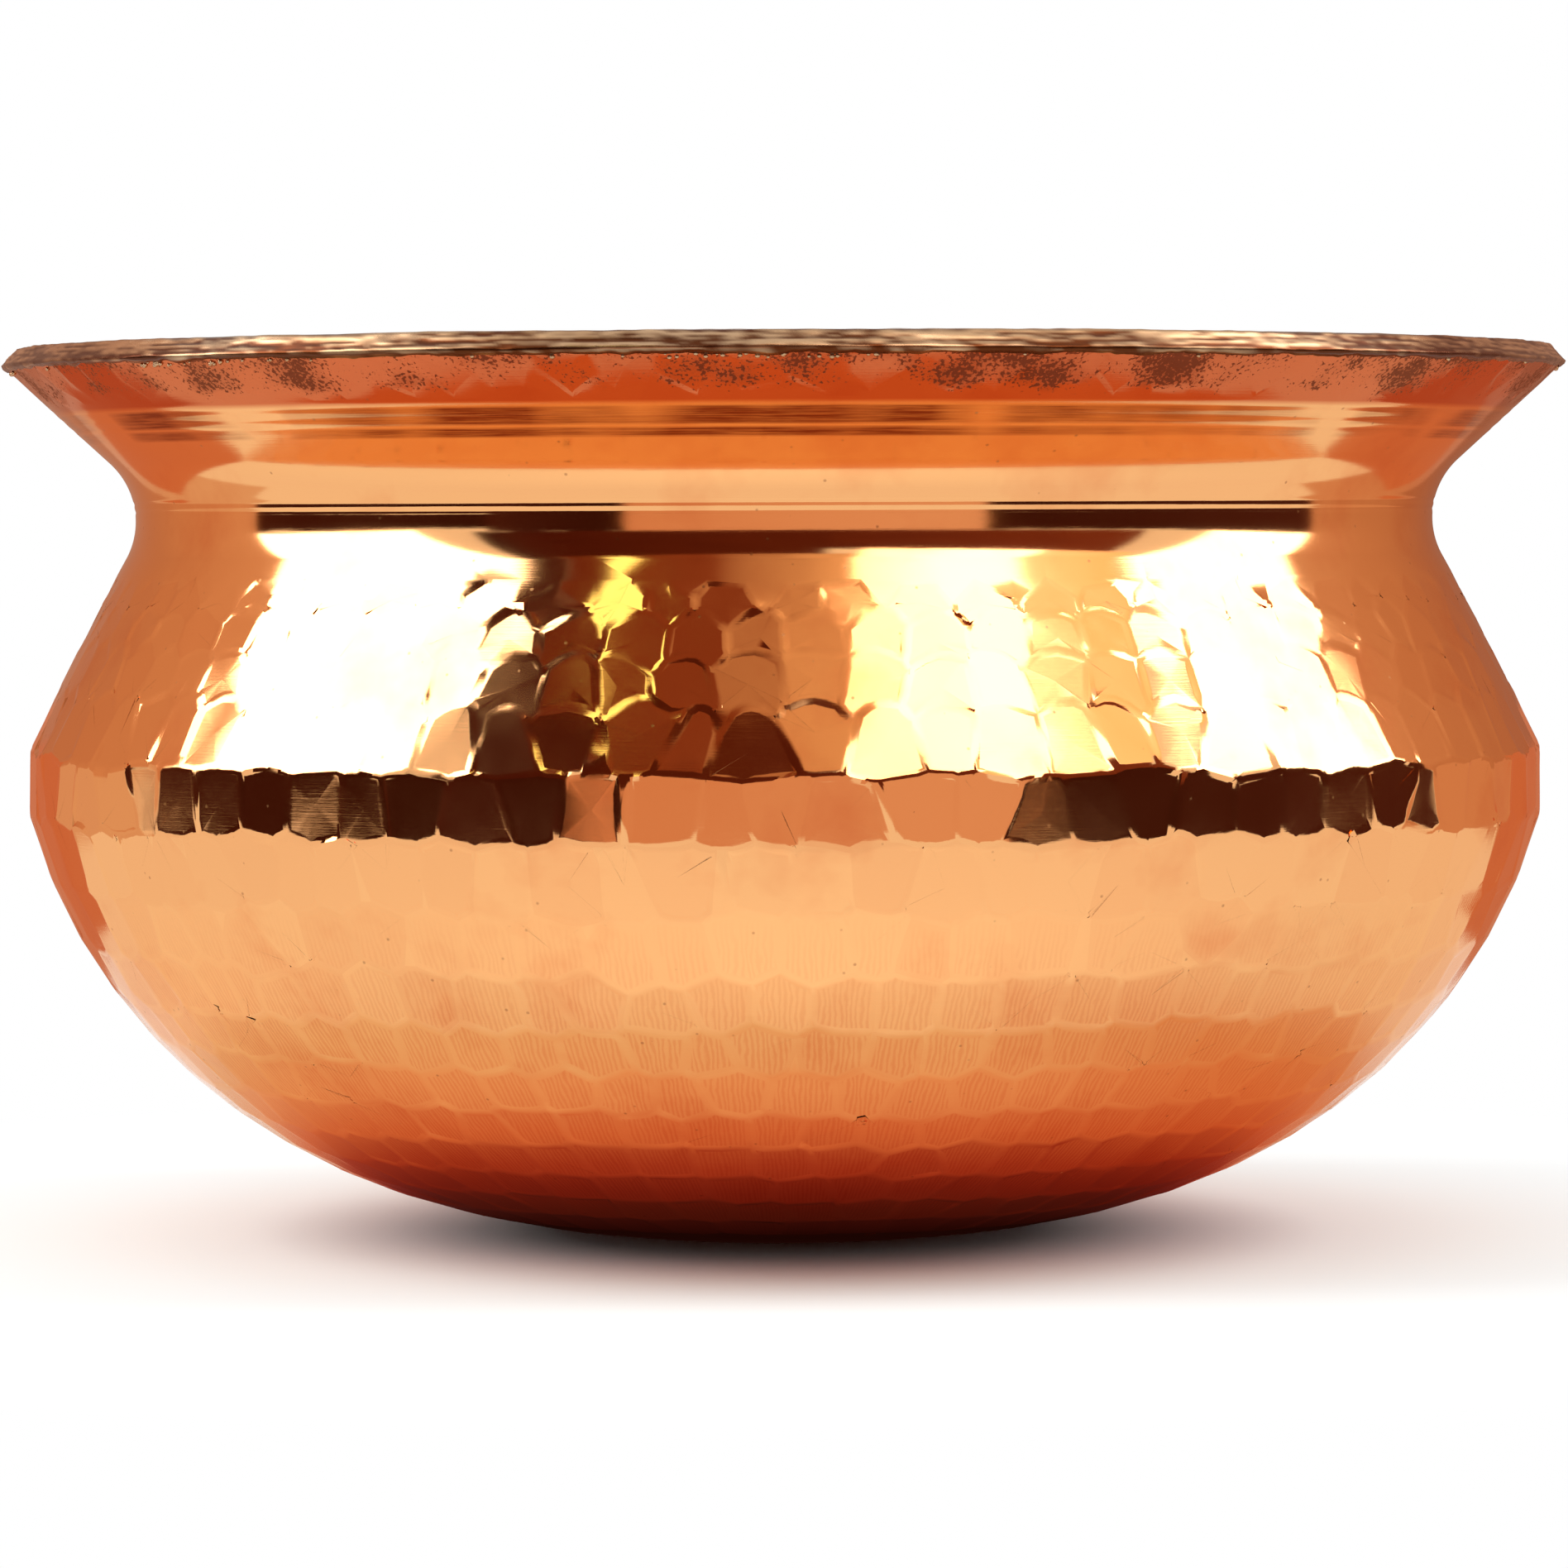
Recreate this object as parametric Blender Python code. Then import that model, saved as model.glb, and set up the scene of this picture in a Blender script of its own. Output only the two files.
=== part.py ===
"""A hammered copper cooking pot with a wiped tin lining.

The pot is raised from one sheet of copper: a nearly flat floor, a full bowl, an upright band at the belly,
a shoulder that leans in to the neck, and a flared lip. The outside is planished, so rows of flat hammer marks
cover it from the floor to the top of the shoulder, and one more row runs under the lip. The tin coats the
whole inside and turns over the edge of the lip.

Lengths are in metres and +Z is up. The origin is the middle of the flat patch that the pot stands on.
"""

import math
import random

import bmesh
import bpy
from mathutils import Vector

# Copper sheet
SHEET_THICKNESS = 0.0015
LIP_THICKNESS = 0.0026

# Tin lining
TIN_THICKNESS = 0.0004
TIN_GAP = 0.0003
TIN_LIP_CHAMFER = 0.0006

# Outline of the outside, from the floor up
BASE_RADIUS = 0.0220
BELLY_RADIUS = 0.1235
BELLY_BAND_BOTTOM = 0.0690
BELLY_BAND_HEIGHT = 0.0102
NECK_DRAW_IN = 0.01755
NECK_RADIUS = BELLY_RADIUS - NECK_DRAW_IN
NECK_ABOVE_BAND = 0.0374
NECK_CURVE_RADIUS = 0.0127
FLARE_LEAN = math.radians(47.5)
LIP_OVERHANG = 0.0209

# Fullness of the bowl and crown of the shoulder
BOWL_RUN_OUT = 0.0020
BOWL_SIDE_FULLNESS = 2.77
BOWL_FLOOR_FULLNESS = 1.76
SHOULDER_CROWN = 0.0003

# Hammer marks
MARK_WIDTH = 0.0095
BOWL_MARK_HEIGHT = 0.0105
SHOULDER_MARK_HEIGHT = 0.0078
SHOULDER_SMOOTH_TOP = 0.0033
FLARE_MARK_HEIGHT = 0.0095
MARK_OVERLAP = 1.7
MARK_SCATTER = 0.0005
SCATTER_SEED = 11

# Smoothness of the turned surfaces
SHELL_COLUMNS = 96
LINING_COLUMNS = 64
NECK_STEPS = 5
BOWL_STEPS = 6
CURVE_SAMPLES = 240
SHARP_EDGE = math.radians(30)

# Tolerances of the modelling steps
ON_PLANE = 1e-7
SHORTEST_EDGE = 2e-5

RING_LAYER = "ring"


def belly_band_top():
    """Height of the edge where the belly band meets the shoulder."""
    return BELLY_BAND_BOTTOM + BELLY_BAND_HEIGHT


def bowl_sag(radius):
    """Share of the bowl's full depth that its curve has climbed at this radius."""
    across = radius / (BELLY_RADIUS + BOWL_RUN_OUT)
    return 1 - (1 - across**BOWL_SIDE_FULLNESS) ** (1 / BOWL_FLOOR_FULLNESS)


def bowl_curve():
    """Close-set points of the bowl, from the edge of the flat floor to the bottom of the belly band."""
    floor_sag = bowl_sag(BASE_RADIUS)
    depth = BELLY_BAND_BOTTOM / (bowl_sag(BELLY_RADIUS) - floor_sag)
    points = []
    for step in range(CURVE_SAMPLES + 1):
        turn = step / CURVE_SAMPLES * math.pi / 2
        radius = BASE_RADIUS + (BELLY_RADIUS - BASE_RADIUS) * math.sin(turn)
        points.append(Vector((radius, depth * (bowl_sag(radius) - floor_sag))))
    return points


def neck_centre():
    """Middle of the arc that turns the shoulder into the flare."""
    return Vector((NECK_RADIUS + NECK_CURVE_RADIUS, belly_band_top() + NECK_ABOVE_BAND))


def shoulder_lean():
    """Lean from upright of the line from the belly band's top edge that just touches the neck arc."""
    reach = neck_centre() - Vector((BELLY_RADIUS, belly_band_top()))
    return math.asin(NECK_CURVE_RADIUS / reach.length) - math.atan2(reach.x, reach.y)


def neck_point(turn):
    """Point of the neck arc, at this turn above its narrowest place."""
    return neck_centre() + NECK_CURVE_RADIUS * Vector((-math.cos(turn), math.sin(turn)))


def neck_arc():
    """Points of the neck arc, from the shoulder to the flare."""
    low = -shoulder_lean()
    step = (FLARE_LEAN - low) / NECK_STEPS
    return [neck_point(low + i * step) for i in range(NECK_STEPS + 1)]


def flare_direction():
    """Direction in which the flare climbs."""
    return Vector((math.sin(FLARE_LEAN), math.cos(FLARE_LEAN)))


def flare_inward():
    """Direction through the flare, from its outside to its inside."""
    return Vector((-math.cos(FLARE_LEAN), math.sin(FLARE_LEAN)))


def lip_edge():
    """Outer edge of the copper at the lip."""
    foot = neck_point(FLARE_LEAN)
    return foot + flare_direction() * ((NECK_RADIUS + LIP_OVERHANG - foot.x) / math.sin(FLARE_LEAN))


def evenly_spaced(points, count):
    """Points that part a line of points into this many equal lengths."""
    lengths = [(b - a).length for a, b in zip(points, points[1:])]
    wanted = sum(lengths) / count
    spaced = [points[0]]
    walked = 0.0
    for start, end, length in zip(points, points[1:], lengths):
        while len(spaced) < count and walked + length >= wanted * len(spaced):
            spaced.append(start.lerp(end, (wanted * len(spaced) - walked) / length))
        walked += length
    return spaced + [points[-1]]


def split_by_height(points, mark_height):
    """Row edges along a line of points, with rows about as tall as a hammer mark."""
    length = sum((b - a).length for a, b in zip(points, points[1:]))
    return evenly_spaced(points, max(1, round(length / mark_height)))


def shoulder_curve():
    """Close-set points of the hammered shoulder, slightly crowned, from the belly band upwards."""
    foot = Vector((BELLY_RADIUS, belly_band_top()))
    top = neck_point(-shoulder_lean())
    run = top - foot
    outward = Vector((run.y, -run.x)).normalized()
    hammered = 1 - SHOULDER_SMOOTH_TOP / run.length
    points = []
    for step in range(CURVE_SAMPLES + 1):
        along = hammered * step / CURVE_SAMPLES
        points.append(foot + run * along + outward * (4 * SHOULDER_CROWN * along * (1 - along)))
    return points


def hammered_rows():
    """Edges of the rows of marks on the bowl, the belly band and the shoulder, from the floor up."""
    bowl = split_by_height(bowl_curve(), BOWL_MARK_HEIGHT)
    shoulder = split_by_height(shoulder_curve(), SHOULDER_MARK_HEIGHT)
    return bowl + shoulder


def flare_row():
    """Lower and upper edge of the row of marks under the lip."""
    edge = lip_edge()
    return [edge - flare_direction() * FLARE_MARK_HEIGHT, edge]


def wall_line():
    """The outside in few points, from the floor's edge to the lip, which the inner faces follow."""
    bowl = evenly_spaced(bowl_curve(), BOWL_STEPS)
    return bowl + [Vector((BELLY_RADIUS, belly_band_top()))] + neck_arc() + [lip_edge()]


def moved_inward(line, distance):
    """The line set inwards by a distance. Its ends move square to the floor and to the flare."""
    normals = [Vector((a.y - b.y, b.x - a.x)).normalized() for a, b in zip(line, line[1:])]
    normals = [Vector((0, 1))] + normals + [flare_inward()]
    moved = []
    for point, before, after in zip(line, normals, normals[1:]):
        middle = (before + after).normalized()
        moved.append(point + middle * (distance / middle.dot(after)))
    return moved


def copper_inside():
    """Points of the inner face of the copper, from the lip down to the floor's edge."""
    inside = moved_inward(wall_line(), SHEET_THICKNESS)
    inside[-1] = lip_edge() + flare_inward() * LIP_THICKNESS
    return inside[::-1]


def lining_face(distance):
    """Points of one face of the lining, this far from the copper, from the floor's edge to the lip."""
    face = moved_inward(wall_line(), SHEET_THICKNESS + distance)
    face[-1] = lip_edge() + flare_inward() * (LIP_THICKNESS + distance) + flare_direction() * distance
    return face


def around(inner, outer, column):
    """The four places of one face between two rings, in order round the face."""
    return [(inner, column), (inner, column + 1), (outer, column + 1), (outer, column)]


def turned(profile, columns):
    """A closed body turned about Z from a profile that starts and ends on the axis.

    It is made ring by ring, so its edges always come in the same order and the flats cut later
    come out alike.
    """
    body = bmesh.new()
    layer = body.verts.layers.int.new(RING_LAYER)
    rings = []
    for number, point in enumerate(profile):
        places = columns if point.x > 0 else 1
        turns = [math.tau * column / places for column in range(places)]
        spots = [(point.x * math.cos(turn), point.x * math.sin(turn), point.y) for turn in turns]
        ring = [body.verts.new(spot) for spot in spots]
        for corner in ring:
            corner[layer] = number
        rings.append(ring)
    for inner, outer in zip(rings, rings[1:]):
        for column in range(columns):
            corners = [ring[place % len(ring)] for ring, place in around(inner, outer, column)]
            body.faces.new(dict.fromkeys(corners)).smooth = True
    bmesh.ops.recalc_face_normals(body, faces=body.faces)
    return body


def strike(body, rings, spot, outward):
    """Flatten the wall with one blow: slice off what stands proud of a plane, between two rings."""
    ring = body.verts.layers.int[RING_LAYER]
    wall = [corner for corner in body.verts if rings[0] <= corner[ring] <= rings[1]]
    proud = [corner for corner in wall if (corner.co - spot).dot(outward) > ON_PLANE]
    faces = dict.fromkeys(face for corner in proud for face in corner.link_faces)
    edges = dict.fromkeys(edge for face in faces for edge in face.edges)
    corners = dict.fromkeys(corner for face in faces for corner in face.verts)
    bmesh.ops.bisect_plane(
        body,
        geom=[*corners, *edges, *faces],
        dist=ON_PLANE,
        plane_co=spot,
        plane_no=outward,
        clear_outer=True,
    )
    rim = [edge for edge in body.edges if edge.is_boundary]
    for flat in bmesh.ops.holes_fill(body, edges=rim)["faces"]:
        flat.smooth = False


def row_outward(low, high):
    """Direction square to a row of marks, away from the pot."""
    slope = (high - low).normalized()
    return Vector((slope.y, -slope.x))


def mark_depth(low, high):
    """How far a flat mark lies under the round wall, deep enough to run into its neighbours."""
    radius = (low.x + high.x) / 2
    return MARK_OVERLAP * row_outward(low, high).x * MARK_WIDTH**2 / (8 * radius)


def edge_depths(low, high, top):
    """Depths of a row's flats at its two edges. No flat reaches past the top of the hammered wall."""
    if high == top:
        return mark_depth(low, high), 0.0
    room = (low - top).dot(row_outward(low, high))
    depth = min(mark_depth(low, high), room)
    return depth, depth


def hammer_row(body, rings, low, high, depths, phase, scatter):
    """Strike one row of flat marks all round, between two edges of the row."""
    outward = row_outward(low, high)
    foot = low - outward * depths[0]
    head = high - outward * depths[1]
    tilt = (head - foot).normalized()
    middle = (foot + head) / 2
    count = round(math.tau * (low.x + high.x) / 2 / MARK_WIDTH)
    for mark in range(count):
        shift = scatter.uniform(-MARK_SCATTER, MARK_SCATTER) / middle.x
        turn = math.tau * (mark + phase) / count + shift
        across = Vector((math.cos(turn), math.sin(turn), 0))
        spot = across * middle.x + Vector((0, 0, middle.y))
        strike(body, rings, spot, across * tilt.y - Vector((0, 0, tilt.x)))


def hammer_outside(body):
    """Planish the outside: rows from the floor up to the neck, then the row under the lip."""
    scatter = random.Random(SCATTER_SEED)
    rows = hammered_rows()
    neck_ring = len(rows) + 1
    for number, (low, high) in enumerate(zip(rows, rows[1:])):
        depths = edge_depths(low, high, rows[-1])
        hammer_row(body, (0, neck_ring), low, high, depths, number % 2 / 2, scatter)
    low, high = flare_row()
    flare_ring = neck_ring + len(neck_arc())
    depths = (0.0, mark_depth(low, high))
    hammer_row(body, (flare_ring, flare_ring + 1), low, high, depths, 0.0, scatter)


def finish(name, body, colour, roughness):
    """Hand a body over as a named object with its own metal."""
    bmesh.ops.remove_doubles(body, verts=body.verts, dist=SHORTEST_EDGE)
    bmesh.ops.triangulate(body, faces=body.faces)
    for edge in body.edges:
        edge.smooth = edge.calc_face_angle() < SHARP_EDGE
    mesh = bpy.data.meshes.new(name)
    body.to_mesh(mesh)
    body.free()
    metal = bpy.data.materials.new(name)
    metal.use_nodes = True
    surface = metal.node_tree.nodes["Principled BSDF"]
    surface.inputs["Base Color"].default_value = colour
    surface.inputs["Roughness"].default_value = roughness
    surface.inputs["Metallic"].default_value = 1.0
    mesh.materials.append(metal)
    piece = bpy.data.objects.new(name, mesh)
    bpy.context.scene.collection.objects.link(piece)


def make_copper_shell():
    """The raised and planished copper wall."""
    outside = hammered_rows() + neck_arc() + flare_row()
    floor_top = Vector((0, SHEET_THICKNESS))
    body = turned([Vector((0, 0))] + outside + copper_inside() + [floor_top], SHELL_COLUMNS)
    hammer_outside(body)
    finish("copper_shell", body, (0.80, 0.36, 0.19, 1.0), 0.18)


def make_tin_lining():
    """The tin coat: the whole inside, and a cover over the edge of the lip."""
    back = lining_face(TIN_GAP)
    front = lining_face(TIN_GAP + TIN_THICKNESS)
    along = flare_direction()
    lip_foot = [lip_edge() + along * TIN_GAP, lip_edge() + along * (TIN_GAP + TIN_THICKNESS)]
    crest = front.pop()
    chamfer = [crest - flare_inward() * TIN_LIP_CHAMFER, crest - along * TIN_LIP_CHAMFER]
    floor_back = Vector((0, back[0].y))
    floor_front = Vector((0, front[0].y))
    profile = [floor_back] + back + lip_foot + chamfer + front[::-1] + [floor_front]
    body = turned(profile, LINING_COLUMNS)
    finish("tin_lining", body, (0.72, 0.70, 0.66, 1.0), 0.35)


def clear_scene():
    """Start from an empty scene."""
    for item in list(bpy.data.objects):
        bpy.data.objects.remove(item)


def main():
    """Build the pot."""
    clear_scene()
    make_copper_shell()
    make_tin_lining()


main()
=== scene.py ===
"""Dressed model and studio for a hand-hammered copper cooking pot with a wiped tin lining.

The pot is one planished copper wall and one tin coat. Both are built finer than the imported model, in its
place and to its sizes, then set on a pale floor between two soft lamps.
"""

from __future__ import annotations

import logging
import math
import random
from dataclasses import dataclass, field
from enum import Enum

import bmesh
import bpy
from mathutils import Matrix, Vector, noise

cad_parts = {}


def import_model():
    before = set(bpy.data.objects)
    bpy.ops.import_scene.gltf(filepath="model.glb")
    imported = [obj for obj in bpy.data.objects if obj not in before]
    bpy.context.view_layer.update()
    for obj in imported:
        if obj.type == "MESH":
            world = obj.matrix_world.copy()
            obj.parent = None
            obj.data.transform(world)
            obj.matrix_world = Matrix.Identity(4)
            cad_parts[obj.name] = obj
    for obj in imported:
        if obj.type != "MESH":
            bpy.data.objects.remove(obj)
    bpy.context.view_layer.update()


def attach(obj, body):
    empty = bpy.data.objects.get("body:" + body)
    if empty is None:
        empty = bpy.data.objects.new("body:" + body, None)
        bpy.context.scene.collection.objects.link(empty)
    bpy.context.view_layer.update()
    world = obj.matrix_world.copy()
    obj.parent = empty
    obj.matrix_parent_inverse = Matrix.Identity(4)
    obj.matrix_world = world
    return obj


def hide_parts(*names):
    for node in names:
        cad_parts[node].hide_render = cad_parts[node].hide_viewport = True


LOG = logging.getLogger("pot")
MM = 0.001
SAME_POINT = 1e-6
ON_PLANE = 1e-7
# A mark's number is its row times this step, plus its place in the row.
ROW_STEP = 1000
WHITE = (1.0, 1.0, 1.0, 1.0)


class Row(Enum):
    """The kinds of hammered row, with the way their marks bulge over the next row."""

    BOWL = -1.0
    SHOULDER = 1.0
    FLARE = 0.0


def linear(hex_colour: str) -> tuple[float, float, float, float]:
    """Turn an sRGB hex colour into the linear colour that the shaders take.

    Args:
        hex_colour: Six hex digits, with or without a leading hash.

    Returns:
        Red, green, blue and alpha in linear light.
    """
    digits = hex_colour.lstrip("#")
    parts = [int(digits[start:start + 2], 16) / 255.0 for start in (0, 2, 4)]
    red, green, blue = [
        part / 12.92 if part <= 0.04045 else ((part + 0.055) / 1.055) ** 2.4 for part in parts]
    return red, green, blue, 1.0


def add_node(
        tree: bpy.types.NodeTree, kind: str, feeds: dict[str | int, object],
        **settings: object) -> bpy.types.Node:
    """Add one shader node, set it up and link it.

    Args:
        tree: Node tree that gets the node.
        kind: Node type name, without the leading ShaderNode.
        feeds: Socket name or number to either an output socket to link or a value to set.
        settings: Properties of the node itself.

    Returns:
        The new node.
    """
    node = tree.nodes.new("ShaderNode" + kind)
    for name, value in settings.items():
        setattr(node, name, value)
    for socket, value in feeds.items():
        if isinstance(value, bpy.types.NodeSocket):
            tree.links.new(value, node.inputs[socket])
        else:
            node.inputs[socket].default_value = value
    return node


def new_material(name: str) -> bpy.types.Material:
    """Make an empty node material.

    Args:
        name: Name of the material.

    Returns:
        The material.
    """
    material = bpy.data.materials.new(name)
    material.use_nodes = True
    material.node_tree.nodes.clear()
    return material


def new_object(name: str, body: bmesh.types.BMesh, material: bpy.types.Material) -> bpy.types.Object:
    """Turn a finished bmesh into an object at the origin.

    Args:
        name: Name of the object and its mesh.
        body: The mesh, which is used up.
        material: Its only material.

    Returns:
        The object, linked to the scene.
    """
    mesh = bpy.data.meshes.new(name)
    body.to_mesh(mesh)
    body.free()
    mesh.materials.append(material)
    thing = bpy.data.objects.new(name, mesh)
    bpy.context.scene.collection.objects.link(thing)
    return thing


def only_reflected(thing: bpy.types.Object) -> None:
    """Hide an object from everything but the reflections in the metal.

    Args:
        thing: The object.
    """
    thing.visible_camera = False
    thing.visible_diffuse = False
    thing.visible_shadow = False


def spin_profile(points: list[Vector], sectors: int, steps: int) -> bmesh.types.BMesh:
    """Turn a profile about Z into a closed body whose vertices know their ring.

    Args:
        points: Radius and height of each ring, from the axis round to the axis.
        sectors: Equal parts that the full turn is put together from.
        steps: Steps in each part.

    Returns:
        The closed body with its faces outward.
    """
    body = bmesh.new()
    rings = body.verts.layers.int.new("ring")
    line = [body.verts.new((point.x, 0.0, point.y)) for point in points]
    for number, vert in enumerate(line):
        vert[rings] = number
    edges = [body.edges.new(pair) for pair in zip(line, line[1:])]
    bmesh.ops.spin(
        body, geom=line + edges, axis=(0.0, 0.0, 1.0), cent=(0.0, 0.0, 0.0), angle=math.tau / sectors,
        steps=steps, use_merge=sectors == 1, use_normal_flip=False, use_duplicate=False)
    sector = [*body.verts, *body.edges, *body.faces]
    for number in range(1, sectors):
        copy = bmesh.ops.duplicate(body, geom=sector)["geom"]
        bmesh.ops.rotate(
            body, verts=[item for item in copy if isinstance(item, bmesh.types.BMVert)], cent=(0.0, 0.0, 0.0),
            matrix=Matrix.Rotation(math.tau * number / sectors, 3, "Z"))
    bmesh.ops.remove_doubles(body, verts=body.verts, dist=SAME_POINT)
    bmesh.ops.recalc_face_normals(body, faces=body.faces)
    return body


def walk(points: list[Vector], shares: list[float]) -> list[Vector]:
    """Pick points along a line of points.

    Args:
        points: The line.
        shares: How far along its length each picked point lies, from 0 to 1.

    Returns:
        One point for each share.
    """
    lengths = [0.0]
    for start, end in zip(points, points[1:]):
        lengths.append(lengths[-1] + (end - start).length)
    picked = []
    for share in shares:
        target = share * lengths[-1]
        index = max(1, next((i for i, length in enumerate(lengths) if length >= target), len(lengths) - 1))
        step = lengths[index] - lengths[index - 1]
        picked.append(points[index - 1].lerp(points[index], (target - lengths[index - 1]) / step))
    return picked


def unroll(body: bmesh.types.BMesh, radius: float, spread: float) -> None:
    """Lay a flat map over a turned body, in metres: the way round by the height.

    Args:
        body: The turned body.
        radius: Radius at which the way round is true to size.
        spread: Share of the distance from the axis added to the height, so that a level floor has a map too.
    """
    layer = body.loops.layers.uv.new("unrolled")
    for face in body.faces:
        middle = face.calc_center_median()
        facing = math.atan2(middle.x, -middle.y)
        for loop in face.loops:
            spot = loop.vert.co
            turn = math.atan2(spot.x, -spot.y) - facing
            turn = (turn + math.pi) % math.tau - math.pi
            loop[layer].uv = ((facing + turn) * radius, spot.z + spread * spot.xy.length)


@dataclass(frozen=True)
class PotOutline:
    """Sizes of the pot's wall in metres, and the lines that follow from them."""

    base_radius: float = 0.0220
    belly_radius: float = 0.1235
    band_bottom: float = 0.0690
    band_top: float = 0.0792
    bowl_run_out: float = 0.0020
    side_fullness: float = 2.77
    floor_fullness: float = 1.76
    neck_radius: float = 0.10595
    neck_height: float = 0.1166
    neck_curve: float = 0.0127
    shoulder_crown: float = 0.0003
    flare_lean: float = math.radians(47.5)
    lip_radius: float = 0.12685
    lip_thickness: float = 0.0026
    sheet: float = 0.0015
    bowl_steps: int = 240
    shoulder_steps: int = 40
    inner_neck_steps: int = 8
    inner_bowl_steps: int = 14

    def bowl_fall(self, radius: float) -> float:
        """Give how far under the belly band the bowl lies at a radius, as a share of its depth."""
        across = radius / (self.belly_radius + self.bowl_run_out)
        return (1.0 - across ** self.side_fullness) ** (1.0 / self.floor_fullness)

    def bowl(self) -> list[Vector]:
        """Give the bowl's outside.

        Returns:
            Points from the flat patch up to the belly band.
        """
        middle, edge = self.bowl_fall(self.base_radius), self.bowl_fall(self.belly_radius)
        span = self.belly_radius - self.base_radius
        line = []
        for step in range(self.bowl_steps + 1):
            radius = self.base_radius + span * math.sin(0.5 * math.pi * step / self.bowl_steps)
            fall = (self.bowl_fall(radius) - edge) / (middle - edge)
            line.append(Vector((radius, self.band_bottom * (1.0 - fall))))
        return line

    def neck_centre(self) -> Vector:
        """Give the middle of the neck's arc, which lies outside the wall."""
        return Vector((self.neck_radius + self.neck_curve, self.neck_height))

    def neck_point(self, lean: float) -> Vector:
        """Give a point on the neck's arc, where lean is the wall's slope there."""
        return self.neck_centre() + self.neck_curve * Vector((-math.cos(lean), math.sin(lean)))

    def shoulder_lean(self) -> float:
        """Give the shoulder's lean inward, at which its line runs on into the neck's arc."""
        away = self.neck_centre() - Vector((self.belly_radius, self.band_top))
        return math.atan2(-away.x, away.y) + math.asin(self.neck_curve / away.length)

    def shoulder(self) -> list[Vector]:
        """Give the shoulder's outside, slightly crowned.

        Returns:
            Points from the belly band to the neck's arc.
        """
        low = Vector((self.belly_radius, self.band_top))
        high = self.neck_point(-self.shoulder_lean())
        out = Vector(((high - low).y, -(high - low).x)).normalized()
        line = []
        for step in range(self.shoulder_steps + 1):
            share = step / self.shoulder_steps
            line.append(low.lerp(high, share) + out * self.shoulder_crown * 4.0 * share * (1.0 - share))
        return line

    def neck(self, steps: int) -> list[Vector]:
        """Give the neck's arc from the shoulder to the flare in a number of steps."""
        low, high = -self.shoulder_lean(), self.flare_lean
        return [self.neck_point(low + (high - low) * step / steps) for step in range(steps + 1)]

    def flare_way(self) -> Vector:
        """Give the way up the flare."""
        return Vector((math.sin(self.flare_lean), math.cos(self.flare_lean)))

    def flare_in(self) -> Vector:
        """Give the way through the flare, from outside to inside."""
        return Vector((-math.cos(self.flare_lean), math.sin(self.flare_lean)))

    def lip_edge(self) -> Vector:
        """Give the outer edge of the lip."""
        start = self.neck_point(self.flare_lean)
        return start + self.flare_way() * ((self.lip_radius - start.x) / self.flare_way().x)

    def inside(self, depth: float) -> list[Vector]:
        """Give a coarse line a given depth inside the wall.

        Args:
            depth: Distance from the outside of the sheet.

        Returns:
            Points from the top of the flare down to the edge of the flat floor.
        """
        up = self.neck(self.inner_neck_steps)[::-1] + walk(self.shoulder(), [0.75, 0.5, 0.25])[1:]
        up += [Vector((self.belly_radius, self.band_top)), Vector((self.belly_radius, self.band_bottom))]
        steps = self.inner_bowl_steps
        up += walk(self.bowl(), [1.0 - step / steps for step in range(1, steps + 1)])
        moved = []
        for index, point in enumerate(up):
            before, after = up[max(index - 1, 0)], up[min(index + 1, len(up) - 1)]
            way = (after - before).normalized()
            moved.append(point + Vector((way.y, -way.x)) * depth)
        moved[-1] = Vector((self.base_radius, depth))
        return moved


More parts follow.
